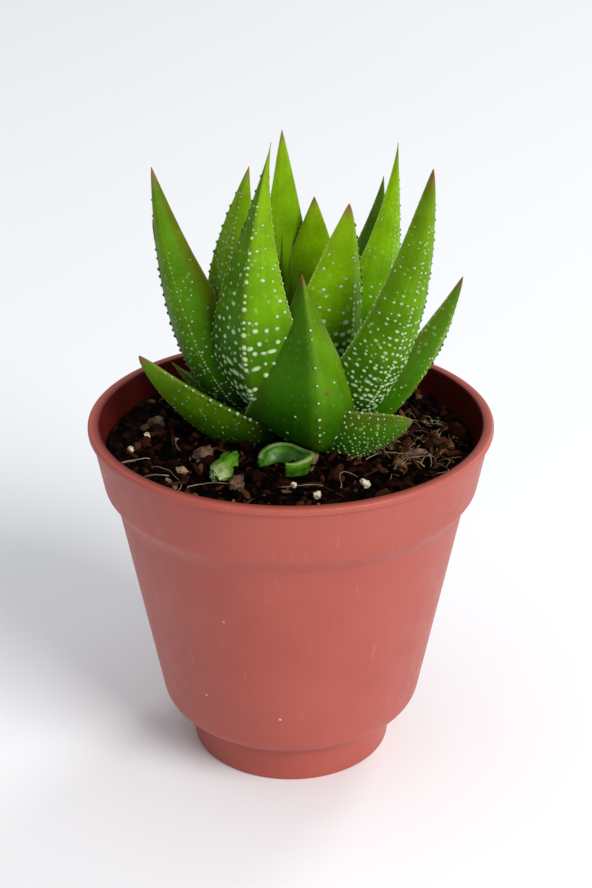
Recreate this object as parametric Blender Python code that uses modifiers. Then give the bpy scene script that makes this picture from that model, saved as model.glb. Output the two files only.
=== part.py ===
"""Haworthia rosette in a round plastic nursery pot, at its real size in metres, +Z up.

The pot is a thin moulded shell that stands on its foot ring. It holds a plug of potting soil, a short
stem set behind the pot's middle, one solid for every leaf, and the loose scraps on the soil.
"""
import math
import random

import bmesh
import bpy
from mathutils import Matrix, Vector, noise
from mathutils.bvhtree import BVHTree

MM = 0.001
GAP = 0.3 * MM

# Pot: outer radii and heights of the moulding
POT_HEIGHT = 50.0 * MM
RIM_RADIUS = 27.5 * MM
RIM_BEAD = 0.9 * MM
RIM_WIDTH = 1.6 * MM
COLLAR_TOP_RADIUS = 27.05 * MM
COLLAR_LOW_RADIUS = 25.6 * MM
COLLAR_LOW_Z = 41.6 * MM
BODY_TOP_RADIUS = 24.0 * MM
BODY_TOP_Z = 39.2 * MM
BODY_LOW_RADIUS = 18.3 * MM
BODY_LOW_Z = 8.2 * MM
FOOT_RADIUS = 14.4 * MM
FOOT_HEIGHT = 4.8 * MM
WALL = 1.0 * MM
FOOT_RECESS = 1.2 * MM
FOOT_RING_WIDTH = 2.4 * MM
POT_SEGMENTS = 56
DRAIN_HOLES = 6
DRAIN_RADIUS = 1.5 * MM
DRAIN_CIRCLE = 8.0 * MM

# Soil and plant
SOIL_LEVEL = 46.4 * MM
SOIL_LUMPS = 0.5 * MM
SOIL_SEGMENTS = 36
SOIL_RINGS = 9
PLANT_X = 0.8 * MM
PLANT_Y = 5.0 * MM
STEM_RADIUS = 2.6 * MM
STEM_TOP_Z = 53.5 * MM
STEM_LOW_Z = 34.0 * MM

# Leaf blades
LEAF_SIDES = 10
LEAF_RINGS = 9
WIDEST_AT = 0.28

# One row a leaf, from the heart outwards: direction round the stem in degrees; then in mm how far its tip
# reaches from the stem's axis, the heights of its base and its tip, how far it bows outwards, its width and
# its thickness; then how quickly it tapers (1 is a plain wedge, 2 a drawn-out point), its twist in degrees,
# how far its tip swings round the stem in mm, and where along its length it bends.
LEAVES = [
    ("leaf_01", 200, 0.7, 52.5, 73.0, 0.2, 3.6, 1.6, 1.2, 0, 0, 0.28),
    ("leaf_02", 150, 2.2, 51.8, 76.0, 0.5, 3.4, 1.6, 1.8, 0, 0, 0.28),
    ("leaf_03", 113, 5.0, 51.5, 87.2, 0.8, 9.0, 2.8, 0.9, 0, 0, 0.28),
    ("leaf_04", 56, 4.2, 51.0, 78.4, 1.0, 12.2, 2.8, 0.9, 36, 0, 0.28),
    ("leaf_05", 313, 9.8, 50.6, 80.9, 0.6, 15.8, 3.8, 0.85, 0, 0, 0.28),
    ("leaf_06", 196, 6.4, 50.4, 84.2, 5.0, 12.4, 3.2, 0.95, 44, 0, 0.28),
    ("leaf_07", 238, 6.1, 50.0, 88.4, 7.4, 14.0, 4.8, 1.35, 10, 0, 0.28),
    ("leaf_08", 16, 13.9, 49.8, 85.7, 4.0, 13.0, 3.4, 1.25, -66, 0, 0.28),
    ("leaf_09", 134, 9.0, 49.6, 73.0, 3.4, 10.0, 3.0, 1.4, 0, 0, 0.28),
    ("leaf_10", 275, 7.4, 49.6, 71.4, 8.1, 15.6, 5.6, 1.0, 0, 0, 0.28),
    ("leaf_11", 318, 22.4, 49.4, 87.9, 5.8, 10.4, 4.4, 0.8, -25, 0, 0.28),
    ("leaf_12", 42, 16.0, 49.0, 79.0, 4.0, 14.6, 3.2, 1.1, 0, 0, 0.28),
    ("leaf_13", 190, 19.0, 48.8, 84.6, 4.8, 10.8, 4.8, 0.9, 66, 0, 0.2),
    ("leaf_14", 88, 12.0, 48.6, 70.0, 4.4, 11.0, 3.2, 1.4, 0, 0, 0.28),
    ("leaf_15", 163, 20.4, 48.4, 74.4, 4.0, 16.0, 3.4, 0.9, 0, 0, 0.28),
    ("leaf_16", 346, 22.4, 48.6, 70.4, 5.0, 15.4, 4.4, 0.95, -30, 0, 0.28),
    ("leaf_17", 208, 21.6, 48.6, 59.6, 3.3, 15.6, 4.2, 0.8, 15, -4.0, 0.28),
    ("leaf_18", 120, 15.5, 47.8, 65.0, 3.8, 10.4, 3.2, 1.2, 0, 0, 0.28),
    ("leaf_19", 66, 16.0, 47.8, 66.0, 4.0, 10.4, 3.2, 1.2, 0, 0, 0.28),
    ("leaf_20", 300, 16.8, 46.5, 52.0, 0.0, 14.6, 4.6, 0.85, -32, 8.0, 0.85),
    ("leaf_21", 22, 18.5, 47.4, 57.0, 3.0, 9.6, 3.2, 1.2, 0, 0, 0.28),
    ("leaf_22", 168, 17.8, 47.2, 54.3, 2.4, 9.4, 3.0, 1.2, 0, 0, 0.28),
]

# Loose pieces on the soil: place across and along, in mm from the pot's axis, size in mm, turn in degrees
BARK_CHIPS = [
    ("bark_chip_1", -11.6, -6.0, (1.2, 2.4, 0.7), 20),
    ("bark_chip_2", -7.0, -14.4, (2.6, 1.8, 1.0), 70),
    ("bark_chip_3", 16.5, -6.0, (3.0, 1.4, 0.8), 35),
    ("bark_chip_4", -18.5, 3.5, (2.4, 1.6, 0.8), 110),
]
PERLITE_GRAINS = [
    ("perlite_grain_1", 9.6, -16.0, 1.5),
    ("perlite_grain_2", 3.4, -18.6, 1.1),
    ("perlite_grain_3", 15.0, 3.6, 1.2),
    ("perlite_grain_4", 0.4, -15.6, 0.9),
    ("perlite_grain_5", -19.6, -0.6, 1.0),
    ("perlite_grain_6", -21.4, -5.0, 1.0),
]


def clear_scene():
    """Remove whatever the file holds, so that the script gives the same parts each run."""
    for old in list(bpy.data.objects):
        bpy.data.objects.remove(old, do_unlink=True)


def new_collection(name):
    collection = bpy.data.collections.new(name)
    bpy.context.scene.collection.children.link(collection)
    return collection


def material(name, colour, roughness):
    """A plain Principled finish: linear base colour and roughness."""
    made = bpy.data.materials.new(name)
    made.use_nodes = True
    shader = made.node_tree.nodes["Principled BSDF"]
    shader.inputs["Base Color"].default_value = (*colour, 1.0)
    shader.inputs["Roughness"].default_value = roughness
    return made


def add_object(name, bm, collection, finish=None, crease_angle=40):
    """Turn a bmesh into a named object with smooth sides and sharp edges where they are real."""
    bmesh.ops.recalc_face_normals(bm, faces=bm.faces)
    mesh = bpy.data.meshes.new(name)
    bm.to_mesh(mesh)
    bm.free()
    mesh.shade_smooth()
    mesh.set_sharp_from_angle(angle=math.radians(crease_angle))
    made = bpy.data.objects.new(name, mesh)
    collection.objects.link(made)
    if finish:
        mesh.materials.append(finish)
    return made


def cut(target, cutter, solver="EXACT"):
    """Take the cutter's volume out of the target with a live Boolean."""
    boolean = target.modifiers.new("cut_" + cutter.name, "BOOLEAN")
    boolean.operation = "DIFFERENCE"
    boolean.solver = solver
    boolean.object = cutter


def arc(centre_r, centre_z, radius, start, end, steps):
    """Points on a quarter round of a turned profile, angles in degrees from +X."""
    points = []
    for step in range(steps + 1):
        angle = math.radians(start + (end - start) * step / steps)
        points.append((centre_r + radius * math.cos(angle), centre_z + radius * math.sin(angle)))
    return points


def pot_outline():
    """The pot's section, from the inner floor round the rim and down the outside to the foot's recess."""
    rim_in = RIM_RADIUS - RIM_WIDTH
    bead_low = POT_HEIGHT - RIM_BEAD
    floor_z = FOOT_RECESS + WALL
    return [
        (0, floor_z),
        (FOOT_RADIUS - WALL - 1.2 * MM, floor_z),
        (FOOT_RADIUS - WALL, floor_z + 1.0 * MM),
        (FOOT_RADIUS - WALL + 0.3 * MM, FOOT_HEIGHT + WALL),
        (BODY_LOW_RADIUS - WALL - 1.0 * MM, FOOT_HEIGHT + 1.9 * MM),
        (BODY_LOW_RADIUS - WALL, BODY_LOW_Z + 0.4 * MM),
        (BODY_TOP_RADIUS - WALL, BODY_TOP_Z + 0.6 * MM),
        (COLLAR_LOW_RADIUS - WALL, COLLAR_LOW_Z + 0.8 * MM),
        (rim_in, POT_HEIGHT - 0.4 * MM),
        (rim_in + 0.4 * MM, POT_HEIGHT),
        (RIM_RADIUS - 0.5 * MM, POT_HEIGHT),
        (RIM_RADIUS - 0.1 * MM, POT_HEIGHT - 0.2 * MM),
        (RIM_RADIUS, bead_low + 0.4 * MM),
        (RIM_RADIUS - 0.1 * MM, bead_low + 0.1 * MM),
        (COLLAR_TOP_RADIUS, bead_low),
        (COLLAR_LOW_RADIUS, COLLAR_LOW_Z),
        (COLLAR_LOW_RADIUS - 0.5 * MM, COLLAR_LOW_Z - 1.2 * MM),
        (BODY_TOP_RADIUS, BODY_TOP_Z),
        (BODY_LOW_RADIUS, BODY_LOW_Z),
        *arc(BODY_LOW_RADIUS - 3.4 * MM, BODY_LOW_Z, 3.3 * MM, -12, -78, 3),
        (FOOT_RADIUS, FOOT_HEIGHT),
        (FOOT_RADIUS - 0.3 * MM, 0.3 * MM),
        (FOOT_RADIUS - 0.6 * MM, 0),
        (FOOT_RADIUS - FOOT_RING_WIDTH, 0),
        (FOOT_RADIUS - FOOT_RING_WIDTH - 0.2 * MM, FOOT_RECESS),
        (0, FOOT_RECESS),
    ]


def turned(outline, segments):
    """Spin a section, given as (radius, height) points, once round the Z axis."""
    bm = bmesh.new()
    row = [bm.verts.new((radius, 0, height)) for radius, height in outline]
    edges = [bm.edges.new(pair) for pair in zip(row, row[1:])]
    bmesh.ops.spin(bm, geom=row + edges, cent=(0, 0, 0), axis=(0, 0, 1), angle=math.tau, steps=segments)
    bmesh.ops.remove_doubles(bm, verts=bm.verts, dist=0.01 * MM)
    return bm


def make_pot(parts, cutters):
    """Moulded shell: rim bead, collar, step, tapered body and foot ring, with drain holes in its floor."""
    terracotta = material("pot_plastic", (0.41, 0.093, 0.072), 0.42)
    outline = pot_outline()
    mesh = bpy.data.meshes.new("pot")
    points = [(radius, 0, height) for radius, height in outline]
    mesh.from_pydata(points, [(i, i + 1) for i in range(len(points) - 1)], [])
    pot = bpy.data.objects.new("pot", mesh)
    parts.objects.link(pot)
    screw = pot.modifiers.new("turn", "SCREW")
    screw.steps = POT_SEGMENTS
    screw.render_steps = POT_SEGMENTS
    screw.use_merge_vertices = True
    screw.merge_threshold = 0.01 * MM
    screw.use_smooth_shade = True
    screw.use_normal_calculate = True
    mesh.materials.append(terracotta)
    for index in range(DRAIN_HOLES):
        angle = math.tau * index / DRAIN_HOLES
        bm = bmesh.new()
        place = Vector((DRAIN_CIRCLE * math.cos(angle), DRAIN_CIRCLE * math.sin(angle), FOOT_RECESS))
        bmesh.ops.create_cone(bm, cap_ends=True, segments=12, radius1=DRAIN_RADIUS, radius2=DRAIN_RADIUS,
                              depth=4 * MM, matrix=Matrix.Translation(place))
        cut(pot, add_object(f"drain_hole_{index + 1}", bm, cutters))
    return pot


def soil_height(x, y):
    """Height of the soil's top: a low mound round the plant with gentle lumps."""
    mound = 1.3 * MM * math.exp(-(((x - PLANT_X) ** 2 + (y - PLANT_Y) ** 2) / (11 * MM) ** 2))
    lumps = SOIL_LUMPS * noise.noise(Vector((x, y, 0)) / (4 * MM))
    return SOIL_LEVEL + mound + lumps


def pot_inside():
    """The inner wall's points, from the floor's edge up to the rim."""
    outline = pot_outline()
    return outline[1:[height for _radius, height in outline].index(POT_HEIGHT) - 1]


def make_soil(parts):
    """Plug of potting soil that follows the pot's inside, with an uneven top."""
    dark = material("soil", (0.022, 0.012, 0.008), 0.95)
    clear = GAP + 0.1 * MM
    side = [(radius - clear, height + clear) for radius, height in pot_inside()]
    bottom = [(0, side[0][1])]
    (collar_r, collar_z), (rim_r, rim_z) = pot_inside()[-1], (RIM_RADIUS - RIM_WIDTH, POT_HEIGHT)
    outer = collar_r + (rim_r - collar_r) * (SOIL_LEVEL - collar_z) / (rim_z - collar_z) - clear - 0.1 * MM
    top = [(outer * (1 - index / SOIL_RINGS), SOIL_LEVEL) for index in range(SOIL_RINGS + 1)]
    bm = turned(bottom + side + top, SOIL_SEGMENTS)
    for vert in bm.verts:
        if vert.co.z > SOIL_LEVEL - 0.1 * MM:
            vert.co.z = soil_height(vert.co.x, vert.co.y)
    return add_object("soil", bm, parts, dark)


def stem_outline(grow):
    """The stem's section: a blunt crown above, tapering to the root crown below."""
    return [
        (0, STEM_LOW_Z - grow),
        (1.2 * MM + grow, STEM_LOW_Z - grow),
        (STEM_RADIUS - 0.4 * MM + grow, STEM_LOW_Z + 6 * MM),
        (STEM_RADIUS + grow, SOIL_LEVEL),
        (STEM_RADIUS - 0.5 * MM + grow, STEM_TOP_Z - 2 * MM),
        (1.0 * MM + grow, STEM_TOP_Z + grow),
        (0, STEM_TOP_Z + grow),
    ]


def make_stem(collection, name, grow, finish=None):
    """Short pithy stem that carries every leaf; most of it is down in the soil."""
    bm = turned(stem_outline(grow), 16)
    bmesh.ops.translate(bm, verts=bm.verts, vec=(PLANT_X, PLANT_Y, 0))
    return add_object(name, bm, collection, finish)


def blade_width(along, taper):
    """Share of the full width, from the base at 0 to the point at 1."""
    if along < WIDEST_AT:
        return 1 - 0.5 * (1 - along / WIDEST_AT) ** 1.6
    left = (1 - along) / (1 - WIDEST_AT)
    return math.sin(math.pi / 2 * left) ** taper


def blade_section(half_width, thickness, along):
    """Ring of one leaf section as (across, out): a keeled outer face and a flatter inner face."""
    inner_share = 0.18 + 0.22 * along
    ring = []
    for index in range(LEAF_SIDES):
        angle = math.tau * index / LEAF_SIDES
        across = half_width * math.cos(angle)
        rise = math.sin(angle)
        share = 1 - inner_share if rise > 0 else inner_share
        ring.append((across, share * thickness * math.copysign(abs(rise) ** 1.15, rise)))
    return ring


def midrib(row, along):
    """Point and direction on a leaf's middle line: a bowed curve from the stem to the tip."""
    turn, reach, base_z, tip_z, bow = row[1:6]
    swing, bend_at = row[10:12]
    angle = math.radians(turn)
    out = Vector((math.cos(angle), math.sin(angle), 0))
    round_stem = Vector((-math.sin(angle), math.cos(angle), 0))
    base = Vector((PLANT_X, PLANT_Y, base_z * MM)) + out * 0.8 * MM
    tip = Vector((PLANT_X, PLANT_Y, tip_z * MM)) + out * reach * MM
    chord = tip - base
    away = chord.cross(round_stem).normalized()
    if away.dot(out) < 0:
        away.negate()
    middle = base + chord * bend_at + away * bow * 2 * MM
    sideways = round_stem * swing * MM
    point = base * (1 - along) ** 2 + middle * 2 * along * (1 - along) + (tip + sideways) * along ** 2
    heading = (middle - base) * (1 - along) + (tip - middle + sideways) * along
    return point, heading.normalized(), round_stem


def leaf_mesh(row, grow):
    """Loft one leaf through its sections; grow pushes the skin outwards for a cutter."""
    width, thickness = row[6] * MM, row[7] * MM
    bm = bmesh.new()
    rings = []
    for index in range(LEAF_RINGS):
        along = 0.97 * (index / (LEAF_RINGS - 1)) ** 0.9
        point, heading, side = midrib(row, along)
        side = (side - heading * side.dot(heading)).normalized()
        side = Matrix.Rotation(math.radians(row[9]), 3, heading) @ side
        out = side.cross(heading).normalized()
        share = blade_width(along, row[8])
        half = max(width / 2 * share, 0.25 * MM) + grow
        deep = max(thickness * share ** 0.7, 0.4 * MM) + 2 * grow
        ring = [bm.verts.new(point + side * across + out * rise)
                for across, rise in blade_section(half, deep, along)]
        rings.append(ring)
    for low, high in zip(rings, rings[1:]):
        for index in range(LEAF_SIDES):
            after = (index + 1) % LEAF_SIDES
            bm.faces.new((low[index], low[after], high[after], high[index]))
    bm.faces.new(rings[0][::-1])
    tip_point, tip_heading, _side = midrib(row, 1.0)
    tip = bm.verts.new(tip_point + tip_heading * grow)
    for index in range(LEAF_SIDES):
        bm.faces.new((rings[-1][index], rings[-1][(index + 1) % LEAF_SIDES], tip))
    return bm


def tree_of(item):
    """Search tree of an object's own mesh, for finding which pieces meet."""
    bm = bmesh.new()
    bm.from_mesh(item.data)
    tree = BVHTree.FromBMesh(bm)
    bm.free()
    return tree


def largest_body(item):
    """Settle an object's cuts into its mesh and drop the slivers that they leave loose beside it."""
    graph = bpy.context.evaluated_depsgraph_get()
    bm = bmesh.new()
    bm.from_mesh(item.evaluated_get(graph).to_mesh())
    bmesh.ops.remove_doubles(bm, verts=bm.verts, dist=0.02 * MM)
    bmesh.ops.dissolve_degenerate(bm, edges=bm.edges, dist=0.01 * MM)
    bodies = []
    unseen = set(bm.verts)
    while unseen:
        body = set()
        front = [unseen.pop()]
        while front:
            vert = front.pop()
            body.add(vert)
            for edge in vert.link_edges:
                other = edge.other_vert(vert)
                if other in unseen:
                    unseen.remove(other)
                    front.append(other)
        bodies.append(body)
    main = max(bodies, key=len)
    bmesh.ops.delete(bm, geom=[vert for vert in bm.verts if vert not in main], context="VERTS")
    item.modifiers.clear()
    bm.to_mesh(item.data)
    bm.free()


def make_leaves(parts, cutters, stem_cutter):
    """Every leaf is its own solid; an outer leaf is hollowed where an inner one presses into it."""
    green = material("leaf_skin", (0.06, 0.16, 0.01), 0.38)
    inner = []
    for row in LEAVES:
        leaf = add_object(row[0], leaf_mesh(row, 0), parts, green, 60)
        cut(leaf, stem_cutter, "MANIFOLD")
        skin = tree_of(leaf)
        for cutter, cutter_skin in inner:
            if skin.overlap(cutter_skin):
                cut(leaf, cutter, "MANIFOLD")
        cutter = add_object("room_for_" + row[0], leaf_mesh(row, GAP), cutters)
        inner.append((cutter, tree_of(cutter)))
        largest_body(leaf)
    return inner


def clear_soil(soil, leaf_cutters, stem_cutter):
    """Hollow the soil where the stem and the low leaves sit in it."""
    cut(soil, stem_cutter, "MANIFOLD")
    skin = tree_of(soil)
    for cutter, cutter_skin in leaf_cutters:
        if skin.overlap(cutter_skin):
            cut(soil, cutter, "MANIFOLD")


def make_curled_scrap(parts):
    """Withered leaf rolled into a hook, lying in front of the plant."""
    olive = material("leaf_scrap", (0.07, 0.17, 0.015), 0.5)
    curve = bpy.data.curves.new("curled_leaf_scrap", "CURVE")
    curve.dimensions = "3D"
    curve.bevel_depth = 0.9 * MM
    curve.bevel_resolution = 2
    curve.use_fill_caps = True
    spline = curve.splines.new("POLY")
    steps = 12
    spline.points.add(steps)
    for index in range(steps + 1):
        angle = math.radians(150 - 230 * index / steps)
        x = -0.6 * MM + 2.6 * MM * math.cos(angle)
        y = -11.6 * MM + 2.4 * MM * math.sin(angle)
        spline.points[index].co = (x, y, SOIL_LEVEL + 2.7 * MM, 1)
        spline.points[index].radius = 0.6 + 0.4 * math.sin(math.pi * (index + 1) / (steps + 2))
    scrap = bpy.data.objects.new("curled_leaf_scrap", curve)
    parts.objects.link(scrap)
    curve.materials.append(olive)
    weld = scrap.modifiers.new("weld", "WELD")
    weld.merge_threshold = 0.01 * MM


def resting_matrix(x, y, half_height, turn):
    """Place for a small piece that lies on the soil with the working gap under it."""
    height = max(soil_height(x + dx * MM, y + dy * MM) for dx in (-1.2, 0, 1.2) for dy in (-1.2, 0, 1.2))
    return Matrix.Translation((x, y, height + half_height + GAP)) @ Matrix.Rotation(turn, 4, "Z")


def make_cut_scrap(parts):
    """Cut end of a removed leaf, stuck in the soil on the left."""
    finish = bpy.data.materials["leaf_scrap"]
    bm = bmesh.new()
    bmesh.ops.create_cube(bm, size=1)
    bmesh.ops.scale(bm, vec=(1.7 * MM, 4.8 * MM, 1.4 * MM), verts=bm.verts)
    bmesh.ops.bevel(bm, geom=bm.edges[:], offset=0.35 * MM, segments=2, affect="EDGES")
    bm.transform(resting_matrix(-8.6 * MM, -10.8 * MM, 0.7 * MM, math.radians(-22)))
    add_object("cut_leaf_scrap", bm, parts, finish)


def make_bark(parts):
    """Flakes of composted bark: a bevelled slab each, turned as it fell."""
    brown = material("bark", (0.12, 0.06, 0.03), 0.85)
    for name, x, y, size, turn in BARK_CHIPS:
        bm = bmesh.new()
        bmesh.ops.create_cube(bm, size=1)
        bmesh.ops.scale(bm, vec=[side * MM for side in size], verts=bm.verts)
        bmesh.ops.bevel(bm, geom=bm.edges[:], offset=0.2 * MM, segments=1, affect="EDGES")
        bm.transform(resting_matrix(x * MM, y * MM, size[2] / 2 * MM, math.radians(turn)))
        add_object(name, bm, parts, brown)


def make_perlite(parts):
    """White mineral grains: uneven round lumps."""
    white = material("perlite", (0.72, 0.68, 0.6), 0.9)
    draw = random.Random(11)
    for name, x, y, size in PERLITE_GRAINS:
        bm = bmesh.new()
        bmesh.ops.create_icosphere(bm, subdivisions=2, radius=size / 2 * MM)
        offset = Vector((draw.random(), draw.random(), draw.random())) * 9
        for vert in bm.verts:
            vert.co *= 1 + 0.2 * noise.noise(vert.co / (0.5 * MM) + offset)
        bm.transform(resting_matrix(x * MM, y * MM, size * 0.55 * MM, draw.uniform(0, math.tau)))
        add_object(name, bm, parts, white)


def build():
    clear_scene()
    parts = new_collection("potted_haworthia")
    cutters = new_collection("cutters")
    make_pot(parts, cutters)
    soil = make_soil(parts)
    make_stem(parts, "stem", 0, material("stem_pith", (0.2, 0.17, 0.06), 0.7))
    stem_cutter = make_stem(cutters, "room_for_stem", GAP)
    leaf_cutters = make_leaves(parts, cutters, stem_cutter)
    clear_soil(soil, leaf_cutters, stem_cutter)
    make_curled_scrap(parts)
    make_cut_scrap(parts)
    make_bark(parts)
    make_perlite(parts)
    for cutter in cutters.objects:
        cutter.hide_render = True
        cutter.display_type = "WIRE"


build()
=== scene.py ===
"""Haworthia rosette in its plastic nursery pot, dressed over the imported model, in metres."""
import math
import random

import bpy
import numpy as np
from mathutils import Matrix, Vector, noise


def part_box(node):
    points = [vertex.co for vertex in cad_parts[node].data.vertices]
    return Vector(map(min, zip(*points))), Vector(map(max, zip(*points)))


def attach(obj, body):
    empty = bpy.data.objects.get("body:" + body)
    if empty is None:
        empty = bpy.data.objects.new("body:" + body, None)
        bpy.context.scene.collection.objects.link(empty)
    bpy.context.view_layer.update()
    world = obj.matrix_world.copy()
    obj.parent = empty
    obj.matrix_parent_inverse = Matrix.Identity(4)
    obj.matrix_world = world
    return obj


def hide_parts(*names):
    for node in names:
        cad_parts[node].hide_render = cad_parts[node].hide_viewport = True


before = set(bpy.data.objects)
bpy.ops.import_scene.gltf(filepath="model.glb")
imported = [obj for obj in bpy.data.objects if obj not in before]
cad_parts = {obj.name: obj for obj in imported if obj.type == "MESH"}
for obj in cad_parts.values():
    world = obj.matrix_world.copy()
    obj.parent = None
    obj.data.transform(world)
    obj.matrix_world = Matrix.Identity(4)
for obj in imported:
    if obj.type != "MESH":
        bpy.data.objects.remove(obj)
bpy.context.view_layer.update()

# ---------------------------------------------------------------------------------------------------------
# Pot. One thin shell of terracotta-coloured plastic, moulded in one shot: rim bead, collar, step, tapered
# body and a foot ring. It comes off the tool satin, and picks up scuffs and dust on the potting bench.
MM = 0.001
POT_SEGMENTS = 192
# Corners of the section in mm and the radius that rounds each: the inside from the floor up to the rim,
# then the outside down to the foot and in under it.
POT_SECTION = [
    (0.4, 2.2, 0), (12.4, 2.2, 0.8), (13.6, 5.8, 0.5), (17.0, 6.8, 1.6), (23.0, 39.9, 0.5),
    (24.6, 42.2, 1.4), (25.9, 49.6, 0.2), (26.0, 50.0, 0.35), (27.5, 50.0, 0.42), (27.5, 49.15, 0.38),
    (27.02, 49.1, 0.08), (25.62, 41.4, 1.5), (24.2, 39.3, 0.35), (23.95, 38.6, 0.3), (18.25, 8.0, 3.2),
    (14.5, 4.9, 0.25), (14.1, 0, 0.35), (12.0, 0, 0.2), (11.8, 1.2, 0.2), (0.4, 1.2, 0),
]


def rounded_section(corners):
    """The section's points with every corner turned into a short arc of its own radius."""
    points = []
    for index, (x, z, radius) in enumerate(corners):
        here = Vector((x, z)) * MM
        if radius == 0:
            points.append(here)
            continue
        before = Vector(corners[index - 1][:2]) * MM
        after = Vector(corners[index + 1][:2]) * MM
        back, ahead = (before - here), (after - here)
        half = back.angle(ahead) / 2
        reach = min(radius * MM / math.tan(half), 0.45 * back.length, 0.45 * ahead.length)
        start, end = here + back.normalized() * reach, here + ahead.normalized() * reach
        steps = 2 + int(math.degrees(math.pi - 2 * half) / 14)
        for step in range(steps + 1):
            share = step / steps
            points.append(start * (1 - share) ** 2 + here * 2 * share * (1 - share) + end * share ** 2)
    return points


def select_only(item):
    """Make one object the only selected and active one."""
    bpy.ops.object.select_all(action="DESELECT")
    item.select_set(True)
    bpy.context.view_layer.objects.active = item


def turn_on_wheel(name, points, segments):
    """Draw a ring out of a circle, loop by loop along a section, and close both ends at the axis."""
    bpy.ops.object.select_all(action="DESELECT")
    first = points[0]
    bpy.ops.mesh.primitive_circle_add(vertices=segments, radius=first.x, location=(0, 0, first.y),
                                      fill_type="NGON")
    made = bpy.context.object
    made.name = name
    bpy.ops.object.transform_apply(location=True, rotation=True, scale=True)
    bpy.ops.object.mode_set(mode="EDIT")
    bpy.ops.mesh.select_mode(type="EDGE")
    bpy.ops.mesh.select_all(action="SELECT")
    bpy.ops.mesh.delete(type="ONLY_FACE")
    bpy.ops.mesh.select_all(action="SELECT")
    for last, point in zip(points, points[1:]):
        bpy.ops.mesh.extrude_edges_move(TRANSFORM_OT_translate={"value": (0, 0, point.y - last.y)})
        share = point.x / last.x
        bpy.ops.transform.resize(value=(share, share, 1), center_override=(0, 0, point.y))
    bpy.ops.mesh.edge_face_add()
    bpy.ops.mesh.select_all(action="DESELECT")
    bpy.ops.mesh.select_non_manifold()
    bpy.ops.mesh.edge_face_add()
    bpy.ops.mesh.select_all(action="SELECT")
    bpy.ops.mesh.normals_make_consistent(inside=False)
    bpy.ops.object.mode_set(mode="OBJECT")
    return made


def keep_smooth(item, angle=35):
    """Shade round stretches smooth and leave real corners crisp."""
    select_only(item)
    bpy.ops.object.shade_smooth_by_angle(angle=math.radians(angle))


def node(tree, kind, place, **settings):
    """Add a shader node and fill in its settings and its inputs by name or number."""
    made = tree.nodes.new("ShaderNode" + kind)
    made.location = place
    for key, value in settings.pop("inputs", {}).items():
        made.inputs[key].default_value = value
    for key, value in settings.items():
        setattr(made, key, value)
    return made


def blend_colours(tree, place, share, first, second, way="MIX"):
    """Mix two colours; each of the three may be a socket or a plain value."""
    mixed = node(tree, "Mix", place, data_type="RGBA", blend_type=way)
    for number, value in ((0, share), (6, first), (7, second)):
        if isinstance(value, bpy.types.NodeSocket):
            tree.links.new(value, mixed.inputs[number])
        else:
            mixed.inputs[number].default_value = value
    return mixed.outputs[2]


def ramp(tree, place, source, stops, ease="LINEAR"):
    """Colour ramp over a 0 to 1 value; stops are (position, colour) with grey given as one number."""
    made = node(tree, "ValToRGB", place)
    band = made.color_ramp
    band.interpolation = ease
    while len(band.elements) < len(stops):
        band.elements.new(1.0)
    for element, (position, colour) in zip(band.elements, stops):
        element.position = position
        element.color = (colour, colour, colour, 1) if isinstance(colour, float) else (*colour, 1)
    tree.links.new(source, made.inputs[0])
    return made.outputs[0]


def new_finish(name):
    """A fresh node material; returns it with its tree, its shader and its object coordinates."""
    made = bpy.data.materials.new(name)
    made.use_nodes = True
    tree = made.node_tree
    coordinates = node(tree, "TexCoord", (-1800, 0)).outputs["Object"]
    return made, tree, tree.nodes["Principled BSDF"], coordinates


def grain(tree, place, coordinates, scale, detail=3.0, roughness=0.5, stretch=None):
    """Noise over the object at so many cycles a metre, optionally drawn out along an axis."""
    if stretch:
        mapping = node(tree, "Mapping", (place[0] - 200, place[1]))
        mapping.inputs["Scale"].default_value = stretch
        tree.links.new(coordinates, mapping.inputs["Vector"])
        coordinates = mapping.outputs[0]
    made = node(tree, "TexNoise", place, inputs={"Scale": scale, "Detail": detail, "Roughness": roughness})
    tree.links.new(coordinates, made.inputs["Vector"])
    return made.outputs["Fac"]


def bump(tree, place, height, distance, strength=1.0, under=None):
    """Bump of a height in metres, laid over another bump if one is given."""
    made = node(tree, "Bump", place, inputs={"Strength": strength, "Distance": distance})
    tree.links.new(height, made.inputs["Height"])
    if under:
        tree.links.new(under, made.inputs["Normal"])
    return made.outputs[0]


def dress(tree, shader, colour, roughness, normal=None):
    """Plug a colour, a plain roughness and, if there is one, a bump into the shader."""
    tree.links.new(colour, shader.inputs["Base Color"])
    shader.inputs["Roughness"].default_value = roughness
    if normal:
        tree.links.new(normal, shader.inputs["Normal"])


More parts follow.
